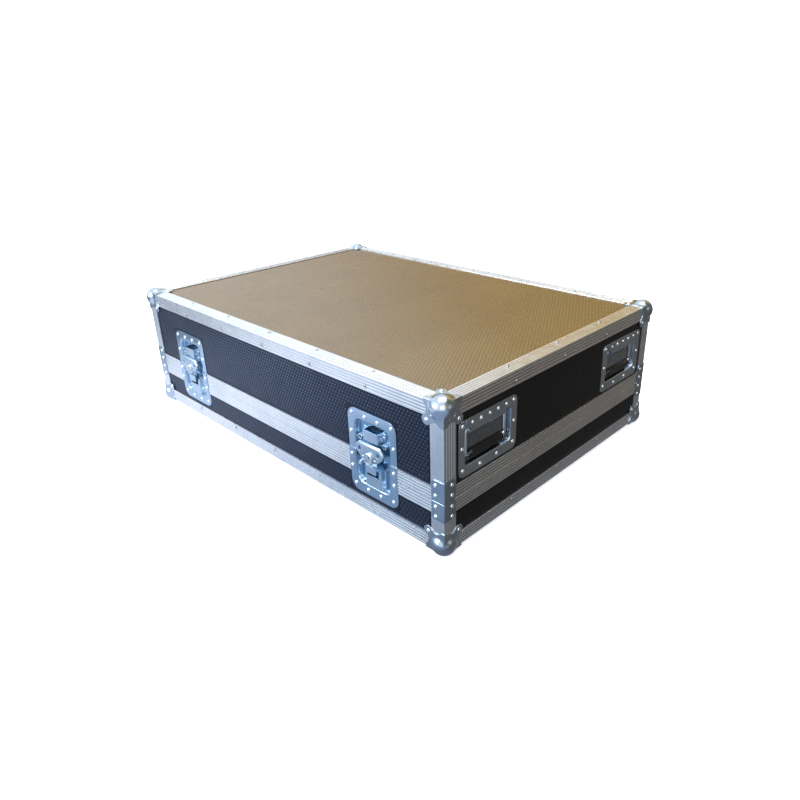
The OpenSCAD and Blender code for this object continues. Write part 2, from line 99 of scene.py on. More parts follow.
class Nodes:
    """A short way to write a node tree: a new material's, or a tree that is there."""

    def __init__(self, name, tree=None):
        if tree is None:
            self.mat = bpy.data.materials.new(name)
            self.mat.use_nodes = True
            tree = self.mat.node_tree
            self.shader = tree.nodes["Principled BSDF"]
        self.tree = tree
        self.coordinates = self.add("ShaderNodeTexCoord").outputs
        self.place = self.coordinates["Object"]

    def add(self, kind, **values):
        node = self.tree.nodes.new(kind)
        for key, value in values.items():
            if hasattr(node, key):
                setattr(node, key, value)
            else:
                node.inputs[key.replace("_", " ")].default_value = value
        return node

    def link(self, a, b):
        self.tree.links.new(a, b)

    def set(self, **values):
        for key, value in values.items():
            self.shader.inputs[key.replace("_", " ")].default_value = value

    def axes(self, vector):
        node = self.add("ShaderNodeSeparateXYZ")
        self.link(vector, node.inputs[0])
        return node.outputs

    def millimetres(self):
        """The object's own x, y and z in millimetres."""
        node = self.add("ShaderNodeMapping")
        node.inputs["Scale"].default_value = (1 / MM,) * 3
        self.link(self.place, node.inputs["Vector"])
        return self.axes(node.outputs["Vector"])

    def noise(self, scale, detail=3.0):
        node = self.add("ShaderNodeTexNoise", Scale=scale, Detail=detail, Roughness=0.5)
        self.link(self.place, node.inputs["Vector"])
        return node.outputs["Fac"]

    def ramp(self, value, *stops):
        """Colour along stops of (place, colour)."""
        node = self.add("ShaderNodeValToRGB")
        band = node.color_ramp
        while len(band.elements) < len(stops):
            band.elements.new(0.5)
        for element, (at, colour) in zip(band.elements, stops):
            element.position = at
            element.color = colour if len(colour) == 4 else (*colour, 1)
        self.link(value, node.inputs["Fac"])
        return node.outputs["Color"]

    def range(self, value, low, high, start=0.3, end=0.7):
        """From low to high while value runs from start to end, and level outside."""
        node = self.add("ShaderNodeMapRange")
        for key, v in (("From Min", start), ("From Max", end), ("To Min", low), ("To Max", high)):
            node.inputs[key].default_value = v
        self.link(value, node.inputs["Value"])
        return node.outputs["Result"]

    def bump(self, height, strength, distance):
        node = self.add("ShaderNodeBump", Strength=strength, Distance=distance)
        self.link(height, node.inputs["Height"])
        self.link(node.outputs["Normal"], self.shader.inputs["Normal"])

    def math(self, operation, *values):
        node = self.add("ShaderNodeMath", operation=operation)
        for k, value in enumerate(values):
            if isinstance(value, (int, float)):
                node.inputs[k].default_value = value
            else:
                self.link(value, node.inputs[k])
        return node.outputs[0]

    def blend(self, factor, a, b):
        """Mixes two colours, each a socket or a tuple."""
        node = self.add("ShaderNodeMix", data_type="RGBA")
        for k, value in ((0, factor), (6, a), (7, b)):
            if isinstance(value, tuple):
                node.inputs[k].default_value = (*value, 1)
            else:
                self.link(value, node.inputs[k])
        return node.outputs[2]

    def colour(self, out):
        self.link(out, self.shader.inputs["Base Color"])

    def rough(self, out):
        self.link(out, self.shader.inputs["Roughness"])


def ply(name, dark, light, rough_low, rough_high, coat=0.0, specular=0.5, tint=(1, 1, 1)):
    """Phenolic-faced ply: a lightly mottled film with a fine grain."""
    n = Nodes(name)
    n.set(Metallic=0.0, Coat_Weight=coat, Coat_Roughness=0.2)
    n.set(Specular_IOR_Level=specular, Specular_Tint=(*tint, 1))
    n.colour(n.ramp(n.noise(5.0, 3.0), (0.25, dark), (0.75, light)))
    n.rough(n.range(n.noise(22.0, 4.0), rough_low, rough_high))
    n.bump(n.noise(1700.0, 2.0), 0.2, 0.0003)
    return n.mat


def metal(name, dark, light, rough_low, rough_high, bump=0.05, ribs=None, deep=None):
    """Plated or anodised metal: cloudy tone, uneven gloss and a fine grain.

    ribs: "flat", "upright" or "rim", the kind of angle whose grooves get painted shade.
    deep: a painted tone on the floor of a recess, as (depth where it starts, where it is full, colour); the
    latch pockets use it for painted shade, the handle pockets for painted light.
    """
    n = Nodes(name)
    n.set(Metallic=1.0)
    tone = n.ramp(n.noise(14.0, 4.0), (0.32, dark), (0.68, light))
    height = n.math("MULTIPLY", n.noise(1300.0, 2.0), bump)
    if ribs:
        painted_groove_shade, rounding = groove_shade_mask(n, ribs)
        # painted shade: the grooves are darkened towards a blue-grey tint
        tone = n.blend(painted_groove_shade, tone, tuple(k * c for k, c in zip(GROOVE_SHADE_TINT, dark)))
        height = n.math("ADD", height, rounding)
    # painted light and shade: the recess floor's tone set by its depth behind the outer faces
    if deep:
        start, full, colour = deep
        x, y, _ = n.millimetres()
        depth = n.math("MINIMUM", inward(n, x, W / 2), inward(n, y, D / 2))
        tone = n.blend(n.range(depth, 0, 1, start, full), tone, colour)
    n.colour(tone)
    n.rough(n.range(n.noise(60.0, 5.0), rough_low, rough_high))
    n.bump(height, 1.0, 0.0002)
    return n.mat


def inward(n, along, face):
    """Distance from the pair of faces at plus and minus face, inwards."""
    return n.math("SUBTRACT", face, n.math("ABSOLUTE", along))


def away(n, along, level):
    """Distance from a level, on either side."""
    return n.math("ABSOLUTE", n.math("SUBTRACT", along, level))


def groove_shade_mask(n, ribs):
    """Painted shade in the grooves, a rib apart from an edge or the parting line, and the ribs' rounding."""
    x, y, z = n.millimetres()
    from_end = inward(n, x, W / 2)
    from_front = inward(n, y, D / 2)
    # the ends' grooves get darker painted shade than those of the front and back
    strength = n.range(from_end, 0.85, 0.38, 2.0, 3.0)
    if ribs == "flat":
        level = n.math("MINIMUM", away(n, z, TOP), away(n, z, FOOT))
        from_edge = n.math("MAXIMUM", n.math("MINIMUM", from_end, from_front), level)
        # the painted shade is weaker on the top and bottom faces than on the sides
        strength = n.math("MULTIPLY", strength, n.range(level, 0.3, 1.0, 0.6, 2.0))
    elif ribs == "upright":
        from_edge = n.math("MAXIMUM", from_end, from_front)
        strength = n.math("MULTIPLY", strength, 0.16)
    else:
        from_edge = n.math("ADD", away(n, z, PART), 2)
    # distance from the nearest groove
    step = away(n, n.math("MODULO", n.math("ADD", from_edge, RIB / 2), RIB), RIB / 2)
    inside = n.math("MULTIPLY", n.math("GREATER_THAN", from_edge, PLAIN_EDGE),
                    n.math("LESS_THAN", from_edge, LEG - PLAIN_EDGE))
    painted_groove_shade = n.math("MULTIPLY", n.range(step, 1, 0, 0.6, 1.4), inside)
    rounding = n.math("MULTIPLY", n.range(step, 0, 0.0 if ribs == "upright" else 1.2, 0.8, 2.4), inside)
    return n.math("MULTIPLY", painted_groove_shade, strength), rounding


def rubber(name):
    """Black rubber, smooth enough to shine along the flutes."""
    n = Nodes(name)
    n.set(Metallic=0.0)
    n.colour(n.ramp(n.noise(40.0, 4.0), (0.3, (0.004, 0.004, 0.004)), (0.7, (0.010, 0.010, 0.010))))
    n.rough(n.range(n.noise(120.0), 0.14, 0.22))
    n.bump(n.noise(1500.0, 3.0), 0.05, 0.0002)
    return n.mat


def foam(name):
    """Charcoal foam with open cells."""
    n = Nodes(name)
    n.set(Metallic=0.0, Specular_IOR_Level=0.15, Sheen_Weight=0.25, Sheen_Roughness=0.6)
    cells = n.add("ShaderNodeTexVoronoi", Scale=520.0)
    n.link(n.place, cells.inputs["Vector"])
    n.colour(n.ramp(n.noise(220.0, 4.0), (0.3, (0.020, 0.020, 0.023)), (0.7, (0.062, 0.062, 0.068))))
    n.rough(n.range(n.noise(90.0), 0.86, 0.97))
    n.bump(cells.outputs["Distance"], 0.7, 0.0012)
    return n.mat


# blue-grey tint of the painted shade in the angles' grooves, times their dark tone
GROOVE_SHADE_TINT = (0.16, 0.19, 0.25)
ALUMINIUM = ((0.80, 0.81, 0.83), (0.90, 0.91, 0.92), 0.24, 0.34)
MAT = {
    # each dots copy is lighter than its film and shines more: painted highlight on the raised hexagons
    "bronze_panel": ply("ply_bronze", (0.113, 0.065, 0.011), (0.140, 0.083, 0.016), 0.24, 0.30, coat=0.4),
    "bronze_dots": ply("ply_bronze_dots", (0.131, 0.078, 0.016), (0.161, 0.097, 0.022), 0.22, 0.28, coat=0.4),
    # front and back film: its reflection tinted blue, a painted reflection of the cool light in front
    "dark_panel": ply("ply_black", (0.0028, 0.0033, 0.0056), (0.0042, 0.0050, 0.0083), 0.30, 0.40,
                      specular=0.42, tint=(0.30, 0.47, 0.92)),
    "dark_dots": ply("ply_black_dots", (0.0080, 0.0090, 0.0130), (0.0115, 0.0130, 0.0185), 0.28, 0.38,
                     specular=0.84, tint=(0.36, 0.57, 0.97)),
    # end film: a duller, neutral copy of the same film, painted shade on the ends
    "shaded_end_panel": ply("ply_black_end", (0.0036, 0.0036, 0.0040), (0.0052, 0.0052, 0.0058), 0.34, 0.44,
                     specular=0.30, tint=(0.62, 0.60, 0.58)),
    "shaded_end_dots": ply("ply_black_end_dots", (0.0050, 0.0050, 0.0054), (0.0072, 0.0072, 0.0078), 0.32, 0.42,
                    specular=0.42, tint=(0.62, 0.60, 0.58)),
    "edge_aluminium": metal("aluminium_edge", *ALUMINIUM, bump=0.012, ribs="flat"),
    "upright_aluminium": metal("aluminium_upright", (0.74, 0.76, 0.78), (0.84, 0.86, 0.88), 0.24, 0.34,
                               bump=0.012, ribs="upright"),
    "rim_aluminium": metal("aluminium_rim", *ALUMINIUM, bump=0.012, ribs="rim"),
    "corner_steel": metal("steel_corner", (0.44, 0.52, 0.60), (0.58, 0.65, 0.72), 0.14, 0.26),
    "brace_steel": metal("steel_brace", (0.34, 0.43, 0.53), (0.48, 0.57, 0.66), 0.18, 0.30),
    "rivet_steel": metal("steel_rivet", (0.84, 0.84, 0.85), (0.94, 0.94, 0.94), 0.14, 0.26, bump=0.04),
    "small_rivet": metal("steel_rivet_dull", (0.34, 0.35, 0.37), (0.46, 0.47, 0.49), 0.26, 0.38, bump=0.04),
    # the latch pockets' floors turn a deeper blue: painted shade
    "dish_steel": metal("steel_zinc", (0.37, 0.50, 0.63), (0.48, 0.61, 0.74), 0.14, 0.26, bump=0.02,
                        deep=(5.0, 9.0, (0.25, 0.42, 0.60))),
    # the handle pockets' backs turn paler: painted light
    "handle_steel": metal("steel_handle", (0.43, 0.51, 0.59), (0.55, 0.63, 0.71), 0.16, 0.27, bump=0.02,
                          deep=(12.0, 20.0, (0.86, 0.90, 0.93))),
    "latch_steel": metal("steel_latch", (0.46, 0.57, 0.67), (0.57, 0.67, 0.76), 0.26, 0.36, bump=0.01),
    "head_steel": metal("steel_head", (0.55, 0.62, 0.69), (0.66, 0.72, 0.78), 0.28, 0.38, bump=0.01),
    "dimple_steel": metal("steel_dimple", (0.10, 0.13, 0.18), (0.16, 0.20, 0.26), 0.40, 0.50, bump=0.02),
    "bail_steel": metal("steel_bail", (0.78, 0.82, 0.88), (0.90, 0.93, 0.96), 0.12, 0.20, bump=0.03),
    "grip_rubber": rubber("rubber_grip"),
    "foam": foam("foam_charcoal"),
}
# CAD nodes whose look differs from their material slot's
LOOKS = {}
for body in ("base", "lid"):
    # the end panels take the shaded copy of the film
    LOOKS.update({body + "_corner_angles": "upright_aluminium", body + "_rim": "rim_aluminium",
                  body + "_left_panel": "shaded_end_panel", body + "_right_panel": "shaded_end_panel"})

slots = {s["node"]: s["material_slot"] for s in frame["record"]["subparts"]}
for name, node in frame["nodes"].items():
    node.data.materials.clear()
    node.data.materials.append(MAT[LOOKS.get(name, slots[name])])


# ---------- mesh code ----------

def joined(*parts):
    """Several parts, each (vertices, faces), as one."""
    verts, faces, base = [], [], 0
    for v, f in parts:
        v = np.asarray(v, float).reshape(-1, 3)
        verts.append(v)
        faces += [tuple(k + base for k in face) for face in f]
        base += len(v)
    return np.concatenate(verts), faces


def moved(part, matrix):
    """A part put through a matrix, its faces kept outwards when that mirrors it."""
    v, f = part
    v = np.asarray(v, float).reshape(-1, 3)
    m = np.array(matrix, float)
    out = v @ m[:3, :3].T + m[:3, 3]
    if np.linalg.det(m[:3, :3]) < 0:
        f = [tuple(reversed(face)) for face in f]
    return out, f


def piece(name, part, matrix, mat, body, stands_for=(), angle=38, outward=False):
    """A mesh object from (vertices, faces) in a local frame."""
    v, f = moved(part, matrix)
    mesh = bpy.data.meshes.new(name)
    mesh.from_pydata([tuple(p) for p in v], [], f)
    bm = bmesh.new()
    bm.from_mesh(mesh)
    bmesh.ops.remove_doubles(bm, verts=bm.verts, dist=2e-6)
    bmesh.ops.dissolve_degenerate(bm, edges=bm.edges, dist=1e-6)
    if outward:
        bmesh.ops.recalc_face_normals(bm, faces=bm.faces)
    bm.to_mesh(mesh)
    bm.free()
    mesh.polygons.foreach_set("use_smooth", [True] * len(mesh.polygons))
    mesh.set_sharp_from_angle(angle=math.radians(angle))
    mesh.materials.append(MAT[mat])
    obj = bpy.data.objects.new(name, mesh)
    bpy.context.scene.collection.objects.link(obj)
    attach(obj, body)
    if stands_for:
        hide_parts(*stands_for)
    return obj


def applied(obj):
    """Applies an object's modifiers to its mesh."""
    graph = bpy.context.evaluated_depsgraph_get()
    graph.update()
    mesh = bpy.data.meshes.new_from_object(obj.evaluated_get(graph))
    obj.modifiers.clear()
    obj.data = mesh
    return obj


def arc(cx, cz, r, start, end, steps=8):
    """Points on a circle about (cx, cz), from start to end in degrees."""
    turns = [math.radians(start + (end - start) * k / steps) for k in range(steps + 1)]
    return [(cx + r * math.cos(a), cz + r * math.sin(a)) for a in turns]


def round_rect(x0, x1, z0, z1, r, steps=6):
    """A rectangle's outline; r = radii (low left, low right, high right, high left), or one number."""
    r = (r,) * 4 if isinstance(r, (int, float)) else r
    out = []
    for cx, cz, rad, a in ((x0, z0, r[0], 180), (x1, z0, r[1], 270), (x1, z1, r[2], 0), (x0, z1, r[3], 90)):
        sx, sz = (1 if cx == x0 else -1), (1 if cz == z0 else -1)
        out += arc(cx + sx * rad, cz + sz * rad, rad, a, a + 90, steps) if rad > 0 else [(cx, cz)]
    return out


def plate(loops, y0, y1, bevel=0.3, steps=2):
    """A flat plate with holes and rounded edges: loops of (x, z), from y0 to y1."""
    curve = bpy.data.curves.new("outline", "CURVE")
    curve.dimensions = "2D"
    curve.fill_mode = "BOTH"
    for loop in loops:
        spline = curve.splines.new("POLY")
        spline.points.add(len(loop) - 1)
        for point, (x, z) in zip(spline.points, loop):
            point.co = (x, z, 0, 1)
        spline.use_cyclic_u = True
    curve.extrude = (y1 - y0) / 2 - bevel
    curve.bevel_depth = bevel
    curve.bevel_resolution = steps
    curve.offset = -bevel
    obj = bpy.data.objects.new("outline", curve)
    mesh = obj.to_mesh()
    mid = (y0 + y1) / 2
    v = [(p.co.x, mid - p.co.z, p.co.y) for p in mesh.vertices]
    f = [tuple(q.vertices) for q in mesh.polygons]
    obj.to_mesh_clear()
    bpy.data.objects.remove(obj)
    bpy.data.curves.remove(curve)
    return np.array(v), f


def lathe(profile, sides, axis="Y", at=(0, 0, 0)):
    """A turned shape: profile of (radius, height along the axis)."""
    v, f = [], []
    for r, h in profile:
        for k in range(sides):
            a = 2 * math.pi * k / sides
            c, s = r * math.cos(a), r * math.sin(a)
            p = {"Y": (c, h, s), "X": (h, c, s), "Z": (c, s, h)}[axis]
            v.append((p[0] + at[0], p[1] + at[1], p[2] + at[2]))
    for j in range(len(profile) - 1):
        for k in range(sides):
            n = (k + 1) % sides
            f.append((j * sides + k, j * sides + n, (j + 1) * sides + n, (j + 1) * sides + k))
    return np.array(v), f


def grid(rows):
    """Faces between rows of points of equal length."""
    n = len(rows[0])
    v = [p for row in rows for p in row]
    f = [(j * n + k, j * n + k + 1, (j + 1) * n + k + 1, (j + 1) * n + k)
         for j in range(len(rows) - 1) for k in range(n - 1)]
    return np.array(v, float), f


def caps(row, points, rows):
    """The end faces of a grid of rows, over the first points of each."""
    last = (rows - 1) * row
    return [tuple(range(points)), tuple(last + k for k in reversed(range(points)))]


def thick(obj, mm, direction):
    """Gives an open sheet its thickness, away from direction."""
    total = Vector((0, 0, 0))
    for q in obj.data.polygons:
        total += q.normal * q.area
    if total.dot(Vector(direction)) < 0:
        obj.data.flip_normals()
    solid = obj.modifiers.new("thick", "SOLIDIFY")
    solid.thickness = mm * MM
    solid.offset = -1
    applied(obj)
    obj.data.polygons.foreach_set("use_smooth", [True] * len(obj.data.polygons))
    obj.data.set_sharp_from_angle(angle=math.radians(38))
    return obj


# ---------- ply panels: rows of small raised hexagons ----------

def hexagons(u0, u1, v0, v1, keep_out, height=0.5):
    """A field of small raised hexagons, left out where the boxes (u0, u1, v0, v1) in keep_out lie."""
    pitch, row_pitch, gap = 8.0, 8.0 * 0.866, 4.0
    foot_r, top_r, sunk = 3.1, 1.9, 0.05
    rows = int((v1 - v0) / row_pitch) - 1
    cols = int((u1 - u0) / pitch) - 1
    centres = []
    for j in range(rows):
        for k in range(cols):
            u = (u0 + u1) / 2 + (k - (cols - 1) / 2 + (0.25 if j % 2 else -0.25)) * pitch
            v = (v0 + v1) / 2 + (j - (rows - 1) / 2) * row_pitch
            if not any(a - gap < u < b + gap and c - gap < v < d + gap for a, b, c, d in keep_out):
                centres.append((u, v))
    angle = [math.radians(30 + 60 * k) for k in range(6)]
    ring = [(foot_r * math.cos(a), foot_r * math.sin(a), -sunk) for a in angle]
    ring += [(top_r * math.cos(a), top_r * math.sin(a), height) for a in angle]
    ring = np.array(ring)
    face = [(k, (k + 1) % 6, 6 + (k + 1) % 6, 6 + k) for k in range(6)] + [tuple(range(6, 12))]
    c = np.array([(u, v, 0) for u, v in centres])
    verts = (c[:, None, :] + ring[None]).reshape(-1, 3)
    faces = [tuple(n * 12 + k for k in q) for n in range(len(c)) for q in face]
    return verts, faces


def wall_frame(side):
    """Local frame of a wall's outer face: u along it, v up, the third axis outwards."""
    across = D if side % 2 == 0 else W
    face = Matrix(((1, 0, 0, 0), (0, 0, -1, LEG_T - across / 2), (0, 1, 0, 0), (0, 0, 0, 1)))
    return WORLD @ turned(90 * side, "Z") @ face


# the dots take their lighter copies of the film: painted highlight
for side, word in enumerate(("front", "right", "back", "left")):
    if side % 2 == 0:
        half, dots = W / 2 - LEG, "dark_dots"
        out = [(s * LATCH_X - LATCH_HALF, s * LATCH_X + LATCH_HALF, PART - LATCH_DOWN, PART + LATCH_UP)
               for s in (-1, 1)]
    else:
        half, dots = D / 2 - LEG, "shaded_end_dots"
        out = [(s * HANDLE_Y - HANDLE_HALF, s * HANDLE_Y + HANDLE_HALF,
                HANDLE_Z - HANDLE_DOWN, HANDLE_Z + HANDLE_UP) for s in (-1, 1)]
    piece("lid_%s_hexagons" % word, hexagons(-half, half, PART + RIM_HALF, TOP - LEG, out),
          wall_frame(side), dots, "lid", angle=20)
    piece("base_%s_hexagons" % word, hexagons(-half, half, FOOT + LEG, PART - RIM_HALF, out),
          wall_frame(side), dots, "base", angle=20)

# the ball corners' flanges cover the field's corners
FLANGE = 45.0
corners = [(sx * W / 2 - FLANGE, sx * W / 2 + FLANGE, sy * D / 2 - FLANGE, sy * D / 2 + FLANGE)
           for sx in (-1, 1) for sy in (-1, 1)]
field = hexagons(LEG - W / 2, W / 2 - LEG, LEG - D / 2, D / 2 - LEG, corners, height=0.4)
above = Matrix.Translation((0, 0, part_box("lid_top_panel")[1].z / MM))
below = Matrix.Translation((0, 0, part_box("base_bottom_panel")[0].z / MM)) @ turned(180, "X")
piece("lid_top_hexagons", field, WORLD @ above, "bronze_dots", "lid", angle=20)
piece("base_bottom_hexagons", field, WORLD @ below, "bronze_dots", "base", angle=20)


# ---------- rivets: domed heads with the mandrel's hole ----------

def islands(node):
    """The separate solids of a CAD node, as boxes in millimetres."""
    mesh = frame["nodes"][node].data
    bm = bmesh.new()
    bm.from_mesh(mesh)
    bmesh.ops.remove_doubles(bm, verts=bm.verts, dist=1e-6)
    left, found = set(bm.verts), []
    while left:
        stack, seen = [left.pop()], []
        while stack:
            v = stack.pop()
            seen.append(v.co.copy())
            for e in v.link_edges:
                o = e.other_vert(v)
                if o in left:
                    left.remove(o)
                    stack.append(o)
        co = np.array(seen) / MM
        found.append((co.min(0), co.max(0)))
    bm.free()
    return sorted(found, key=lambda b: tuple(np.round(b[0], 2)))


def rivet_head(r, h):
    """A domed head on its foot, with the hole that the mandrel leaves."""
    dome = [(r, 0.0), (r, 0.14 * h), (0.96 * r, 0.34 * h), (0.86 * r, 0.60 * h), (0.68 * r, 0.83 * h),
            (0.46 * r, 0.97 * h), (0.32 * r, h), (0.26 * r, 0.95 * h), (0.23 * r, 0.66 * h), (0.0, 0.6 * h)]
    return lathe(dome, 20, "Z")


MID_HEIGHT = 150.0
HINGE_ROW, HINGE_HALF, COVER_T = HANDLE_Z + 46.3, 60.0, 1.2   # rivets that stand on a hinge cover's flange
SMALL_R, NEAR_EDGE = 3.5, 25.0                                # the edge angles' rivets are smaller and duller


def over_hinge(mid):
    """Whether a rivet stands on a hinge cover's flange."""
    return abs(mid[2] - HINGE_ROW) < 2.5 and abs(abs(mid[1]) - HANDLE_Y) < HINGE_HALF


for body in ("base", "lid"):
    large, small = [], []
    for lo, hi in islands(body + "_rivets"):
        size, mid = hi - lo, (hi + lo) / 2
        axis = int(np.argmin(size))
        sign = 1.0 if mid[axis] > (MID_HEIGHT if axis == 2 else 0) else -1.0
        foot = mid.copy()
        foot[axis] = lo[axis] if sign > 0 else hi[axis]
        out = Vector([0, 0, 0])
        out[axis] = sign
        if axis == 0 and over_hinge(mid):
            foot[0] += sign * COVER_T
        turn = Vector((0, 0, 1)).rotation_difference(out).to_matrix().to_4x4()
        r = (size.sum() - size[axis]) / 4
        heads = small if r < SMALL_R and min(mid[2] - FOOT, TOP - mid[2]) < NEAR_EDGE else large
        heads.append(moved(rivet_head(r, size[axis]), Matrix.Translation(foot) @ turn))
    piece(body + "_rivet_heads", joined(*large), WORLD, "rivet_steel", body, [body + "_rivets"],
          outward=True)
    piece(body + "_small_rivet_heads", joined(*small), WORLD, "small_rivet", body,
          outward=True)


# ---------- ball corners: a pressed ball that flows into three flanges ----------

def corner_flange(overhang):
    """A flange's outline: a lobe for its rivet, a hollow on either side, and the case's corner cut off."""
    hollow = arc(49, 18, 12, 236, 138, 8)
    lobe = arc(36, 36, 10.5, -22, 112, 12)
    low = -overhang
    return ([(7, low), (44, low)] + hollow + lobe + [(z, x) for x, z in reversed(hollow)]
            + [(low, 44), (low, 7)])


def ball_corner():
    """Ball and flanges melted together, the case's corner at the origin and the case in +x +y +z."""
    ball_r, centre = 22.6, 13.0
    overhang, face = 1.6, 1.7           # the sheet's reach past the corner, and its outer face
    bend = 12.0                         # of the hollow that carries the ball into each flange
    reach = math.sqrt((ball_r + bend) ** 2 - (centre + face + bend) ** 2)
    meet = math.degrees(math.atan2(centre + face + bend, reach)) + 180
    hollow = arc(reach, face + bend, bend, 270, meet, 8)
    v, f = lathe([(0, -3), (reach, -3)] + hollow + [(0, hollow[-1][1])], 64, "Y")
    v = v * (1, -1, 1) + (centre, 0, centre)
    # the hollow ends at the flange's own edges and at its cut-off corner
    v = np.maximum(v, (-overhang, -99, -overhang))
    cut = np.maximum(5.4 - v[:, 0] - v[:, 2], 0) / 2
    skirt = (v + np.stack([cut, 0 * cut, cut], 1), [tuple(reversed(q)) for q in f])
    parts = []
    for turn in (Matrix.Identity(4), turned(90, "Z") @ turned(90, "X"), turned(-90, "Z") @ turned(-90, "Y")):
        parts.append(moved(plate([corner_flange(overhang)], -face, 0.6, 0.3), turn))
        parts.append(moved(skirt, turn))
    ball = [(x, z) for z, x in arc(0, 0, ball_r, 0, 180, 32)]
    parts.append(lathe(ball, 64, "Z", (centre,) * 3))
    v, f = joined(*parts)
    mesh = bpy.data.meshes.new("corner_source")
    mesh.from_pydata([tuple(p) for p in v], [], f)
    obj = bpy.data.objects.new("corner_source", mesh)
    bpy.context.scene.collection.objects.link(obj)
    bm = bmesh.new()
    bm.from_mesh(mesh)
    bmesh.ops.remove_doubles(bm, verts=bm.verts, dist=1e-4)
    bmesh.ops.recalc_face_normals(bm, faces=bm.faces)
    bm.to_mesh(mesh)
    bm.free()
    remesh = obj.modifiers.new("remesh", "REMESH")
    remesh.mode = "VOXEL"
    remesh.voxel_size = 0.55
    smooth = obj.modifiers.new("smooth", "SMOOTH")
    smooth.factor = 0.5
    smooth.iterations = 12
    fewer = obj.modifiers.new("fewer", "DECIMATE")
    fewer.ratio = 0.22
    applied(obj)
    v = np.array([tuple(p.co) for p in obj.data.vertices])
    f = [tuple(q.vertices) for q in obj.data.polygons]
    bpy.data.objects.remove(obj)
    return v, f


def at_corners(part, z, up):
    """Four copies of a part at the case's vertical edges, mirrored to fit each."""
    return joined(*[moved(part, Matrix.Translation((sx * W / 2, sy * D / 2, z)) @
                          Matrix.Diagonal((-sx, -sy, up, 1))) for sx in (-1, 1) for sy in (-1, 1)])


corner = ball_corner()
for body, z, up in (("base", FOOT, 1), ("lid", TOP, -1)):
    piece(body + "_ball_corner_pressings", at_corners(corner, z, up), WORLD, "corner_steel", body,
          [body + "_ball_corners"], angle=70, outward=True)


# ---------- corner braces: bent plates with rolled edges ----------

def brace(height):
    """A plate bent round a corner at the origin, the case in +x +y, z from 0 up."""
    reach, t, bend = 28.0, 1.5, 2.6

    def half_width(z):
        """Half the plate's width along the bend, narrower in its rounded corners."""
        for r, edge in ((3.0, 0.0), (8.0, height)):
            gap = abs(z - edge)
            if gap < r:
                return reach - r + math.sqrt(max(r * r - (r - gap) ** 2, 0))
        return reach

    zs = [0, 0.25, 0.7, 1.6, 3.0] + list(np.linspace(5, height - 9, 5))
    zs += [height - q for q in (8, 6, 4, 2.4, 1.2, 0.5, 0.15, 0)]
    us = [-1, -0.992, -0.978, -0.95] + list(np.linspace(-0.9, -0.16, 5)) + list(np.linspace(-0.12, 0.12, 9))
    us += list(np.linspace(0.16, 0.9, 5)) + [0.95, 0.978, 0.992, 1]
    rows = []
    for z in zs:
        row = []
        half = half_width(z)
        for u in us:
            s = u * half if abs(u) > 0.15 else u * reach
            edge = min(half - abs(s), z, height - z)
            h = t * (0.15 if edge < 0.01 else 0.72 if edge < 0.3 else 0.93 if edge < 0.8 else 1.0)
            row.append(corner_point(s, h, z, bend))
        rows.append(row)
    return grid(rows)


def corner_point(s, h, z, bend):
    """A point h outside a corner at the origin, rounded to radius bend, s along from its middle."""
    quarter = bend * math.pi / 4
    if abs(s) <= quarter:
        a = math.radians(225) + s / bend
        r = bend + h
        return (bend + r * math.cos(a), bend + r * math.sin(a), z)
    along = bend + (abs(s) - quarter)
    return (along, -h, z) if s > 0 else (-h, along, z)


for body, z, up, height in (("base", PART, -1, 37.0), ("lid", PART + 0.4, 1, 41.6)):
    piece(body + "_brace_plates", at_corners(brace(height), z, up), WORLD, "brace_steel", body,
          [body + "_corner_braces"])


# ---------- latches ----------

POCKET, POCKET_R, FLOOR = 44.5, 14.0, 7.4       # a latch pocket's half width, corner radius and depth
SPINDLE_Z = 25.0                                # the spindle's axis above the parting line
PIN_Y = -9.3                                    # the pin on which the wing folds


def arch_row(w, top, r, sides):
    """An arch of half width w: up the right side at the heights in sides, over the top and down the left."""
    steps = 22
    right = [(w, z) for z in sides]
    zc = sides[-1]
    line = (top - r) - zc
    bend = math.pi / 2 * r
    whole = line + bend + (w - r)
    for k in range(1, steps + 1):
        s = whole * k / steps
        if s <= line:
            p = (w, zc + s)
        elif s <= line + bend:
            a = (s - line) / r
            p = (w - r + r * math.cos(a), top - r + r * math.sin(a))
        else:
            p = (w - r - (s - line - bend), top)
        right.append(p)
    return right + [(-x, z) for x, z in reversed(right[:-1])]


def dish_half(start, reach, pocket, corner_z):
    """The outer face of half a dish, open at the parting line, with heights of its flange and pocket."""
    sides = [start, 3, 8, 14, 20, 24, 25.6, 26.0, 26.3, 26.6, 27.0]
    sides += [z for z in (30, 36, 44, 52, 60, 68) if z < corner_z]
    flange_r = 20

    def over(z):
        """The flange's face, over the rim near the parting line and on the panel beyond it."""
        t = min(max(z - RIM_HALF, 0), 1)
        return -SHEET - LEG_T * (1 - t * t * (3 - 2 * t))

    rows = []
    for inset, lift in ((0.0, 1.2), (0.0, 0.5), (0.25, 0.12), (0.8, 0.0)):
        row = arch_row(LATCH_HALF - inset, reach - inset, flange_r - inset, sides)
        rows.append([(x, over(z) + lift, z) for x, z in row])
    mouth = [(4.0, 0), (3.0, 0), (2.0, 0.2), (1.1, 0.7), (0.4, 1.5), (0.0, 2.6)]
    for off, lift in mouth:
        row = arch_row(POCKET + off, pocket + off, POCKET_R + off, sides)
        rows.append([(x, over(z) + lift, z) for x, z in row])
    for off, rise in ((-1.0, 2.6), (-1.4, 1.5), (-2.1, 0.7), (-3.1, 0.2), (-4.2, 0.0), (-6.0, 0.0)):
        row = arch_row(POCKET + off, pocket + off, POCKET_R + off, sides)
        rows.append([(x, FLOOR - rise, z) for x, z in row])
    v, f = grid(rows)
    n = len(rows[0])
    last = (len(rows) - 1) * n
    half = n // 2
    f += [(last + k, last + k + 1, last + n - 2 - k, last + n - 1 - k) for k in range(half)]
    return v, f


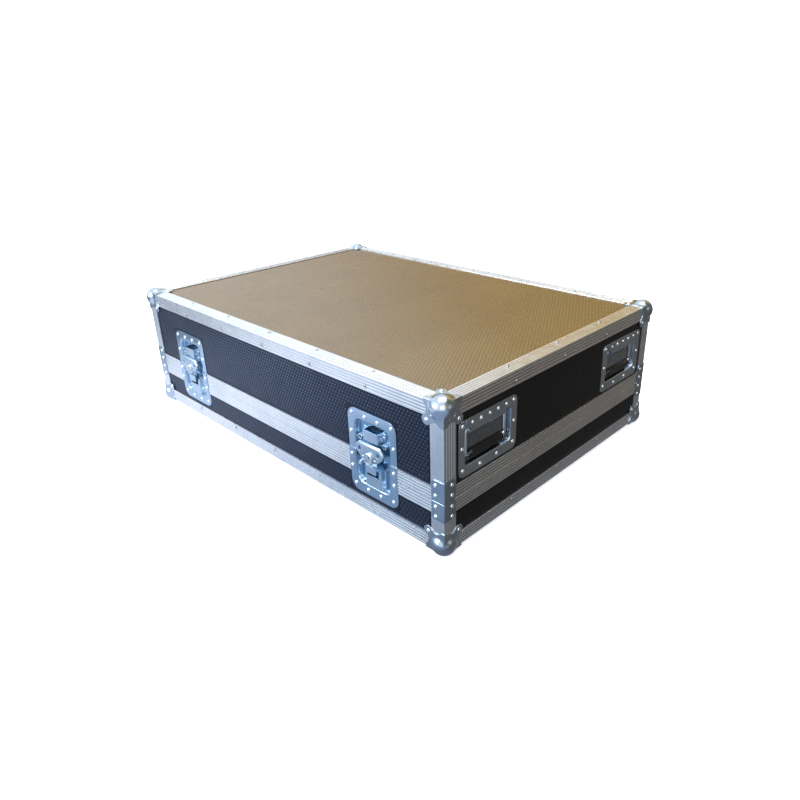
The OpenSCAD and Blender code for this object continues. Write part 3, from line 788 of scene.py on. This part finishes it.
def box(x0, x1, y0, y1, z0, z1, bevel):
    """A block with bevelled edges."""
    return plate([[(x0, z0), (x1, z0), (x1, z1), (x0, z1)]], y0, y1, bevel)


BRACKET_T = 1.4


def bracket():
    """The open box for the spring: a U bent from sheet, with two feet on the pocket's floor."""
    half, z0, z1, y = 19.75, 57.0, 77.0, -5.0
    bend = 2.0
    cross = [(-half - 9, FLOOR - BRACKET_T), (-half - 2.0, FLOOR - BRACKET_T)]
    cross += [(-half - 1.4 + 1.2 * math.cos(a), FLOOR - 2.4 + math.sin(a)) for a in (1.2, 0.6, 0.0)]
    cross += [(-half, 0.0)]
    cross += [(-half + bend - bend * math.cos(a), y + bend - bend * math.sin(a))
              for a in np.linspace(0, math.pi / 2, 6)]
    cross += [(-x, q) for x, q in reversed(cross)]
    zs = [z0, z0 + 0.5, (z0 + z1) / 2, z1 - 0.5, z1]
    return grid([[(x, q, z) for x, q in cross] for z in zs])


def bracket_eyes():
    """The two eyes below the bracket, and the rivets through its feet."""
    eye = [(2.6, -1.1), (3.0, -1.5), (5.2, -1.5), (5.6, -1.1), (5.6, 7.2), (2.6, 7.2), (2.6, -1.1)]
    parts = []
    for s in (-1, 1):
        foot = Matrix.Translation((s * 25.6, FLOOR - BRACKET_T, 70))
        parts.append(lathe(eye, 24, "Y", (s * 32, 0, 56)))
        parts.append(moved(rivet_head(3.4, 1.6), foot @ turned(90, "X")))
    return joined(*parts)


def bar(points, r, sides=10):
    """A round bar along points."""
    v, f, n = [], [], len(points)
    pts = [Vector(p) for p in points]
    up = None
    for k, p in enumerate(pts):
        t = (pts[min(k + 1, n - 1)] - pts[max(k - 1, 0)]).normalized()
        if up is None:
            up = t.orthogonal().normalized()
        up = (up - t * up.dot(t)).normalized()
        side = t.cross(up)
        for j in range(sides):
            a = 2 * math.pi * j / sides
            v.append(tuple(p + (up * math.cos(a) + side * math.sin(a)) * r))
    for k in range(n - 1):
        here, there = k * sides, (k + 1) * sides
        for j in range(sides):
            i = (j + 1) % sides
            f.append((here + j, there + j, there + i, here + i))
    return np.array(v), f + caps(sides, sides, n)


def keeper_channel():
    """The raised channel that the hook enters, with its slot."""
    half, y, bend, low, high = 22.0, -3.0, 3.2, -40.0, -0.6
    left = [(-half - 2.6, FLOOR), (-half - 1.4, FLOOR - 0.5), (-half - 0.7, FLOOR - 1.6)]
    left += [(-half + bend - bend * math.cos(a), y + bend - bend * math.sin(a))
             for a in np.linspace(0, math.pi / 2, 7)]
    left += [(-15.5, y)]
    cross = left + [(-x, q) for x, q in reversed(left)]
    zs = [high, -2.4, -3.0, -17.0, -17.8, -30, low]
    v, f = grid([[(x, q, z) for x, q in cross] for z in zs])
    # the slot is the face between the two middle points, from the third height to the fourth
    slot = 2 * len(cross) + len(left) - 1
    return v, [q for q in f if q[0] != slot]


def rolled_edge(path):
    """The strip bent back along the wing's upper edge; path in (x, z)."""
    cross = [(-10.4, -2.0), (-10.8, -1.2), (-10.6, -0.3), (-9.8, 0.5), (-6.8, 1.5), (-6.4, 1.1),
             (-6.6, 0.5), (-9.2, -0.6)]
    rows = []
    for k, (x, z) in enumerate(path):
        (ax, az), (bx, bz) = path[max(k - 1, 0)], path[min(k + 1, len(path) - 1)]
        size = math.hypot(bx - ax, bz - az)
        nx, nz = (az - bz) / size, (bx - ax) / size
        rows.append([(x + nx * o, y, z + nz * o) for y, o in cross + cross[:1]])
    v, f = grid(rows)
    return v, f + caps(len(cross) + 1, len(cross), len(rows))


def wing():
    """The key that a hand turns: a plate with a rolled upper edge, hinge eyes, a stud and two holes."""
    edge = [(26.4, 52), (28.5, 50.8), (34.0, 45.2), (35.6, 42.6), (36.4, 39.4)]
    low = [(36.2, 36), (34.8, 33.2), (27.2, 26.6), (23.6, 23.7)]
    outline = edge + low + [(21.4, 22.8), (15.4, 22.6), (15.2, 19.2), (14.6, 18.7), (13.3, 18.7)]
    outline += arc(0, SPINDLE_Z, 13.3, 0, 180, 18)
    outline += arc(-17, 14.6, 4.6, -36, -180, 8) + [(-21.6, 21.0), (-22.2, 22.6)]
    outline += [(-x, z) for x, z in reversed(edge + low)]
    holes = [round_rect(s * 24.5 - 3.0, s * 24.5 + 3.0, 34.2, 43.8, 2.9) for s in (-1, 1)]
    parts = [plate([outline] + holes, -10.4, -8.2, 0.55, 3)]
    parts.append(rolled_edge([(-x, z) for x, z in reversed(edge)] + edge))
    eye = [(0.0, -2.0), (1.5, -2.0), (2.1, -2.0), (2.4, -1.6), (2.4, 1.6), (2.1, 2.0), (0, 2.0)]
    parts += [lathe(eye, 20, "X", (s * 15.5, PIN_Y, SPINDLE_Z)) for s in (-1, 1)]
    stud = [(0, -9.9), (4.0, -9.9), (4.0, -16.4), (4.2, -16.8), (4.2, -17.8), (3.8, -18.3), (2.7, -18.3),
            (2.4, -17.9), (0, -17.8)]
    parts.append(lathe(stud, 28, "Y", (-17, 0, 14.6)))
    return joined(*parts)


def spindle():
    """A head with a rim round its face, its shaft and collar, and the pin for the wing."""
    head = [(0, -14.0), (7.5, -14.0), (9.1, -14.1), (9.6, -14.5), (10.5, -14.6), (11.0, -14.3),
            (11.2, -13.8), (12.1, -11.3), (12.3, -10.8), (12.3, -7.3), (11.9, -6.7), (11.2, -6.5)]
    shaft = [(7.0, -6.5), (7.0, 3.6), (9.3, 3.6), (9.3, 7.1), (5.0, 7.1), (5.0, 8.4), (0, 8.4)]
    pin = [(0, -17.6), (1.2, -17.6), (1.5, -17.2), (1.5, 17.2), (1.2, 17.6), (0, 17.6)]
    return joined(lathe(head + shaft, 48, "Y", (0, 0, SPINDLE_Z)),
                  lathe(pin, 16, "X", (0, PIN_Y, SPINDLE_Z)))


def dimples():
    """The two dull dimples in the head's face."""
    dimple = [(2.0, -13.95), (2.0, -14.2), (1.5, -14.16), (0.8, -14.05), (0, -14.05)]
    return joined(*[lathe(dimple, 16, "Y", (s * 3.2, 0, SPINDLE_Z + s * 4.6)) for s in (-1, 1)])


def hook():
    """A slotted neck behind the spindle's head, a step forward, the plate and its nose."""
    parts = [plate([round_rect(-14, 14, -8, 8, (2.4, 2.4, 3, 3))], -7.9, -6.5, 0.4, 2)]
    slot = arc(0, SPINDLE_Z, 7.4, 0, 180, 12) + arc(0, SPINDLE_Z - 2.6, 7.4, 180, 360, 12)
    neck = [(-11, 6), (11, 6)] + arc(0, SPINDLE_Z - 1.5, 12.2, 25.6, 154.4, 14)
    parts.append(plate([neck, slot], -2.2, -0.4, 0.3, 2))
    parts.append(box(-11, 11, -7.8, -0.5, 6, 8, 0.4))
    parts.append(box(-12, 12, -7.8, -3.4, -8, -6, 0.4))
    return joined(*parts)


def spring():
    """The coil that lies across the bracket."""
    start, r, wire = (-15, 1.2, 68), 3.6, 0.8
    turns, length, steps = 6, 30, 24
    pts = []
    for k in range(steps * turns + 1):
        a = 2 * math.pi * k / steps
        pts.append((start[0] + length * k / (steps * turns), start[1] + r * math.cos(a),
                    start[2] + r * math.sin(a)))
    return bar(pts, wire)


springs = []
for i, place in enumerate(LATCHES):
    at = latch_frame(i)
    facing = (0, -1, 0) if i < 2 else (0, 1, 0)
    dish = piece("latch_dish_pressing_" + place, dish_half(0.4, LATCH_UP, 90.0, 74), at, "dish_steel", "lid")
    thick(dish, SHEET, facing)
    cover = piece("latch_bracket_" + place, bracket(), at, "latch_steel", "lid")
    thick(cover, 1.3, facing)
    piece("latch_eyes_" + place, bracket_eyes(), at, "latch_steel", "lid", ["latch_dish_" + place],
          outward=True)
    keeper = moved(dish_half(0.0, LATCH_DOWN, 41.0, 27), Matrix.Diagonal((1, 1, -1, 1)))
    low_half = piece("keeper_pressing_" + place, keeper, at, "dish_steel", "base")
    thick(low_half, SHEET, facing)
    channel = piece("keeper_channel_" + place, keeper_channel(), at, "latch_steel", "base",
                    ["keeper_dish_" + place])
    thick(channel, 1.3, facing)
    piece("latch_head_" + place, spindle(), at, "head_steel", "spindle_" + place, ["latch_spindle_" + place],
          outward=True)
    piece("latch_head_dimples_" + place, dimples(), at, "dimple_steel", "spindle_" + place,
          outward=True)
    piece("latch_key_" + place, wing(), at, "latch_steel", "wing_" + place, ["latch_wing_" + place],
          outward=True)
    piece("latch_hook_plate_" + place, hook(), at, "latch_steel", "hook_" + place, ["latch_hook_" + place],
          outward=True)
    springs.append(moved(spring(), at))
# the coils take the dull, dark rivet steel: painted shade inside the bracket
piece("latch_spring_coils", joined(*springs), Matrix.Identity(4), "small_rivet", "lid", ["latch_springs"])


# ---------- handles ----------

def loop(x0, x1, z0, z1, r):
    """A closed rounded rectangle with the same number of points whatever its size."""
    side, bend = 5, 7
    corners = ((x1 - r, z0 + r, -90), (x1 - r, z1 - r, 0), (x0 + r, z1 - r, 90), (x0 + r, z0 + r, 180))
    pts = []
    for k, (cx, cz, a) in enumerate(corners):
        pts += arc(cx, cz, r, a, a + 90, bend)
        nx, nz, na = corners[(k + 1) % 4]
        end = (nx + r * math.cos(math.radians(na)), nz + r * math.sin(math.radians(na)))
        start = pts[-1]
        pts += [(start[0] + (end[0] - start[0]) * j / side, start[1] + (end[1] - start[1]) * j / side)
                for j in range(1, side)]
    return pts + [pts[0]]


def handle_pressing():
    """The outer face of a handle dish: a flange with rounded corners, and a deep pocket."""
    rows = []
    for inset, y in ((0, 0.0), (0, -0.7), (0.25, -1.1), (0.8, -1.2)):
        rows.append([(x, y, z) for x, z in loop(inset - HANDLE_HALF, HANDLE_HALF - inset,
                                                inset - HANDLE_DOWN, HANDLE_UP - inset, 13 - inset)])
    deep = 19.0
    steps = [(3.2, -1.2), (2.4, -1.1), (1.4, -0.7), (0.6, 0.0), (0.0, 1.2), (-0.8, deep - 2.6),
             (-1.2, deep - 1.4), (-1.9, deep - 0.6), (-2.9, deep - 0.1), (-4.0, deep)]
    for off, y in steps:
        rows.append([(x, y, z) for x, z in loop(-63 - off, 63 + off, -32 - off, 38 + off, 8 + off)])
    v, f = grid(rows)
    return v, f + caps(len(rows[0]), len(rows[0]) - 1, len(rows))[1:]


def handle_cover():
    """The rolled sheet over the hinge rod, and its riveted flange, which reaches over the arms' bends."""
    flange = [(-1.25, 54), (-2.1, 54), (-2.4, 53.6), (-2.4, 46), (-2.4, 38.6), (-2.1, 38.1), (-1.25, 38.0)]
    rod_y, rod_z, roll_r = 8.0, 33.0, 9.9
    roll = [(-1.6, 41)] + [(rod_y - roll_r * math.cos(a), rod_z - roll_r * math.sin(a))
                           for a in np.linspace(0, math.pi / 2 + 0.5, 11)]
    parts = []
    for cross, half, capped in ((flange, 62.0, False), (roll, 48.8, True)):
        rows = []
        for x in (-half, 0.3 - half, 1 - half, -30, 0, 30, half - 1, half - 0.3, half):
            pull = 0.4 if abs(x) > half - 0.1 else 0.12 if abs(x) > half - 0.5 else 0
            rows.append([(x, y + pull, z) for y, z in cross])
        v, f = grid(rows)
        if capped:
            f = f + caps(len(cross), len(cross), len(rows))
        parts.append((v, f))
    return joined(*parts)


def grip():
    """A rubber sleeve with flutes along it and soft ends."""
    half, r, bore = 44.0, 9.0, 4.1
    y, z = 8.0, -18.0
    flutes, depth = 14, 0.9
    turns = np.linspace(0, 2 * math.pi, 97)
    along = [-44, -43.6, -42.6, -41] + list(np.linspace(-38, 38, 9)) + [41, 42.6, 43.6, 44]
    rows = []
    for x in along:
        end = half - abs(x)
        full = r if end > 2.9 else r - 2.0 + 2.0 * math.sqrt(max(1 - (1 - end / 3.0) ** 2, 0))
        flute = depth if end > 4 else 0.0
        radii = [full - flute * (0.5 + 0.5 * math.cos(flutes * a)) for a in turns]
        rows.append([(x, y + q * math.cos(a), z + q * math.sin(a)) for q, a in zip(radii, turns)])
    ends = [[(x, y + bore * math.cos(a), z + bore * math.sin(a)) for a in turns] for x in (-half, half)]
    return grid([ends[0]] + rows + [ends[1]])


for i, place in enumerate(HANDLES):
    at = handle_frame(i)
    facing = (1, 0, 0) if i < 2 else (-1, 0, 0)
    dish = piece("handle_dish_pressing_" + place, handle_pressing(), at, "handle_steel", "lid")
    thick(dish, SHEET, facing)
    cover = piece("handle_cover_" + place, handle_cover(), at, "handle_steel", "lid",
                  ["handle_dish_" + place])
    thick(cover, 1.1, facing)
    piece("handle_grip_sleeve_" + place, grip(), at, "grip_rubber", "bail_" + place, ["handle_grip_" + place],
          outward=True)


# ---------- foam pads ----------

def pad(lo, hi):
    """A foam board with soft edges."""
    bm = bmesh.new()
    corners = [bm.verts.new((lo[0] if k & 1 == 0 else hi[0], lo[1] if k & 2 == 0 else hi[1],
                             lo[2] if k & 4 == 0 else hi[2])) for k in range(8)]
    for q in ((0, 2, 3, 1), (4, 5, 7, 6), (0, 1, 5, 4), (2, 6, 7, 3), (0, 4, 6, 2), (1, 3, 7, 5)):
        bm.faces.new([corners[k] for k in q])
    bmesh.ops.bevel(bm, geom=bm.edges[:], offset=2.5, segments=4, profile=0.5, affect="EDGES")
    bm.verts.index_update()
    v = [tuple(p.co) for p in bm.verts]
    f = [tuple(p.index for p in q.verts) for q in bm.faces]
    bm.free()
    return np.array(v), f


for node, body in (("base_foam_floor", "base"), ("base_foam_walls", "base"), ("lid_foam_top", "lid"),
                   ("lid_foam_walls", "lid")):
    boards = [pad(lo, hi) for lo, hi in islands(node)]
    obj = piece(node + "_boards", joined(*boards), WORLD, "foam", body, [node], outward=True)


# ---------- floor, light and camera ----------

def stage_floor():
    """A pale floor, plain white to the camera; what metal mirrors in it has its own brightness."""
    n = Nodes("floor_pale")
    size = 30.0
    square = [(-size, -size, 0), (size, -size, 0), (size, size, 0), (-size, size, 0)]
    mesh = bpy.data.meshes.new("floor")
    mesh.from_pydata(square, [], [(0, 1, 2, 3)])
    obj = bpy.data.objects.new("floor", mesh)
    bpy.context.scene.collection.objects.link(obj)
    mesh.materials.append(n.mat)
    n.set(Metallic=0.0, Roughness=0.9, Specular_IOR_Level=0.0)
    n.colour(n.ramp(n.noise(0.6, 2.0), (0.3, (0.86, 0.86, 0.86)), (0.7, (0.88, 0.88, 0.88))))
    glow = n.add("ShaderNodeEmission", Strength=0.62)
    both = n.add("ShaderNodeAddShader")
    n.link(n.shader.outputs[0], both.inputs[0])
    n.link(glow.outputs[0], both.inputs[1])
    # what the metal mirrors: cool and bright in front of the case, dim to the right of it
    x, y, _ = n.axes(n.place)
    across = n.math("MULTIPLY", n.range(x, 0.0, 1.0, 0.35, 0.55), n.range(y, 0.0, 1.0, -0.50, -0.36))
    front = n.blend(n.range(x, 0.0, 1.0, -0.28, 0.18), (0.92, 1.03, 1.28), (0.36, 0.46, 0.63))
    front = n.blend(n.range(x, 1.0, 0.0, -0.95, -0.70), front, (0.34, 0.40, 0.48))
    mirrored = n.add("ShaderNodeEmission", Strength=1.0)
    n.link(n.blend(across, front, (0.148, 0.140, 0.132)), mirrored.inputs["Color"])
    ray = n.add("ShaderNodeLightPath")
    mix = n.add("ShaderNodeMixShader")
    n.link(ray.outputs["Is Camera Ray"], mix.inputs[0])
    n.link(mirrored.outputs[0], mix.inputs[1])
    n.link(both.outputs[0], mix.inputs[2])
    n.link(mix.outputs[0], n.tree.nodes["Material Output"].inputs["Surface"])


stage_floor()


def studio_world():
    """White behind and to the left, warm above, dim to the right, and plain white to the camera."""
    world = bpy.data.worlds.new("studio")
    bpy.context.scene.world = world
    world.use_nodes = True
    n = Nodes("studio", world.node_tree)
    x, y, z = n.axes(n.coordinates["Generated"])
    bearing = n.math("ARCTAN2", y, x)
    warm = n.ramp(z, (0.0, (0.40, 0.25, 0.11)), (0.27, (0.34, 0.20, 0.07)), (0.41, (1.00, 0.74, 0.29)),
                  (0.7, (0.90, 0.75, 0.45)), (1.0, (0.82, 0.76, 0.68)))
    turn = n.math("ADD", n.math("ABSOLUTE", bearing), n.math("MULTIPLY", n.math("SUBTRACT", z, 0.28), 1.2))
    behind = n.range(turn, 0, 1, math.radians(131), math.radians(146))
    front = n.range(bearing, 1, 0, math.radians(-40), math.radians(-10))
    cream = n.ramp(z, (0.0, (1.02, 0.94, 0.80)), (0.17, (1.06, 1.02, 0.95)), (0.25, (1.14, 1.28, 1.44)))
    tone = n.blend(front, n.blend(behind, warm, cream), (1.12, 1.26, 1.40))
    dim = n.math("MULTIPLY", n.range(bearing, 1, 0, math.radians(60), math.radians(95)),
                 n.range(bearing, 0, 1, math.radians(-30), math.radians(0)))
    tone = n.blend(dim, tone, (0.20, 0.19, 0.18))
    ray = n.add("ShaderNodeLightPath")
    tone = n.blend(ray.outputs["Is Camera Ray"], tone, (1.1, 1.1, 1.1))
    back = n.tree.nodes["Background"]
    n.link(tone, back.inputs["Color"])
    back.inputs["Strength"].default_value = 0.95


studio_world()


def softbox(name, at, size, power, colour, target=(0, 0, 0.15)):
    """An area light that faces its target."""
    light = bpy.data.lights.new(name, "AREA")
    light.shape = "RECTANGLE"
    light.size, light.size_y = size
    light.energy = power
    light.color = colour
    obj = bpy.data.objects.new(name, light)
    bpy.context.scene.collection.objects.link(obj)
    obj.location = at
    obj.rotation_euler = (Vector(target) - Vector(at)).to_track_quat("-Z", "Y").to_euler()


softbox("key_front_left", (-1.6, -3.2, 1.5), (2.2, 1.6), 95, (0.80, 0.89, 1.0))
softbox("top_soft", (0.15, -0.2, 3.0), (2.4, 2.0), 70, (1.0, 0.97, 0.93), target=(0, 0, 0.2))
softbox("fill_camera", (2.4, -2.8, 1.7), (1.2, 1.0), 22, (0.96, 0.98, 1.0))
softbox("fill_right", (3.2, 0.4, 1.2), (1.6, 1.2), 3, (1.0, 0.98, 0.95))


def photo_camera():
    """A camera at the photograph's viewing angle."""
    camera = bpy.data.cameras.new("camera")
    camera.sensor_width = 36
    camera.lens = 29.4102
    camera.shift_x, camera.shift_y = -0.0294625, -0.0204125
    camera.clip_end = 200
    obj = bpy.data.objects.new("camera", camera)
    bpy.context.scene.collection.objects.link(obj)
    forward = Vector((-0.63554, 0.65791, -0.40404)).normalized()
    right = forward.cross(Vector((-0.26529, 0.30537, 0.91453))).normalized()
    turn = Matrix((right, right.cross(forward), -forward)).transposed().to_4x4()
    obj.matrix_world = Matrix.Translation((1.11168, -1.02633, 0.73685)) @ turn
    bpy.context.scene.camera = obj


photo_camera()
bpy.context.scene.view_settings.view_transform = "Standard"

bpy.context.view_layer.update()
